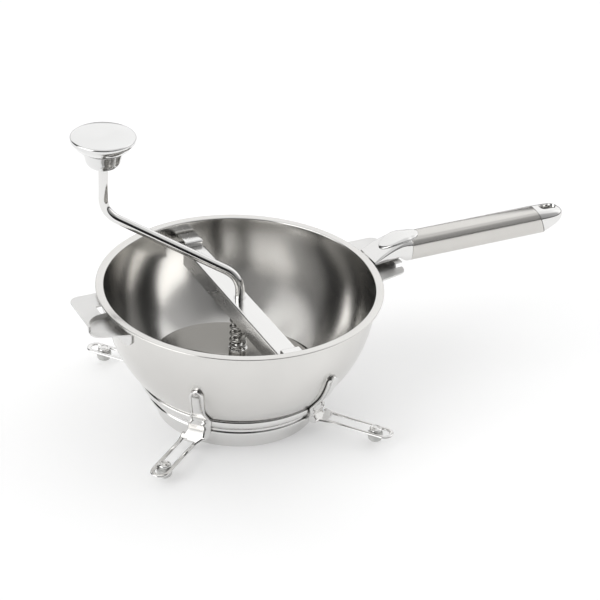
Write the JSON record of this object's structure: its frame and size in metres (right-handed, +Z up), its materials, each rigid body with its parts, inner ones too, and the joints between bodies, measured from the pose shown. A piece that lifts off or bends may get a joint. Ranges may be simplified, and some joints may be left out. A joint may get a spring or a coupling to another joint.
{
  "type": "rotary food mill",
  "caption": "Rotary food mill: a round steel bowl with a sieve bottom, a crank with a spring-pressed blade, a crossbar, a side handle and spread legs.",
  "frame": {"origin": "centre of the footprint on the surface that the base ring stands on; the bowl's axis stands 92.5 mm from it towards -X", "axes": "+X along the handle away from the bowl, +Z up along the crank and bowl axis, +Y along the crossbar"},
  "size_m": [0.483, 0.255, 0.2555],
  "materials": {
    "satin_steel": "satin",
    "brushed_steel": "brushed",
    "polished_steel": "polished",
    "spring_steel": "bright drawn wire",
    "foot_rubber": "matt",
    "nylon": "matt"
  },
  "bodies": {
    "base": {"bowl": "satin_steel", "base_ring": "polished_steel", "sieve_disc": "brushed_steel", "leg_1": "polished_steel", "foot_1": "foot_rubber", "foot_stud_1": "polished_steel", "leg_2": "polished_steel", "foot_2": "foot_rubber", "foot_stud_2": "polished_steel", "leg_3": "polished_steel", "foot_3": "foot_rubber", "foot_stud_3": "polished_steel", "leg_4": "polished_steel", "foot_4": "foot_rubber", "foot_stud_4": "polished_steel", "handle_plate": "polished_steel", "helper_grip_plate": "polished_steel", "handle_ferrule": "polished_steel", "handle_tube": "brushed_steel", "handle_end_cap": "polished_steel", "handle_clasp": "polished_steel", "bar_catch_left": "satin_steel", "bar_catch_right": "satin_steel"},
    "crossbar": {"crossbar": "polished_steel", "crossbar_bush": "nylon", "spring_seat": "polished_steel", "pressure_spring": "spring_steel"},
    "press_carrier": {"thrust_washer": "polished_steel"},
    "crank": {"crank_rod": "polished_steel", "press_blade": "brushed_steel", "drive_pin": "polished_steel", "knob_retainer": "spring_steel"},
    "knob": {"knob_base": "polished_steel", "knob_cap": "polished_steel"}
  },
  "joints": [
    {"name": "crossbar_turn", "type": "hinge", "parent": "base", "child": "crossbar", "pos_m": [-0.0925, 0, 0.11], "axis": [0, 0, 1], "range_deg": [0, 25]},
    {"name": "press_lift", "type": "slide", "parent": "crossbar", "child": "press_carrier", "axis": [0, 0, 1], "range_m": [0, 0.006], "stiffness_N_per_m": 2500, "springref_m": -0.01, "deforming": ["pressure_spring"]},
    {"name": "crank_spin", "type": "hinge", "parent": "press_carrier", "child": "crank", "pos_m": [-0.0925, 0, 0.06], "axis": [0, 0, 1], "continuous": true},
    {"name": "knob_spin", "type": "hinge", "parent": "crank", "child": "knob", "pos_m": [-0.19282, 0.07289, 0.235], "axis": [0, 0, 1], "continuous": true}
  ]
}
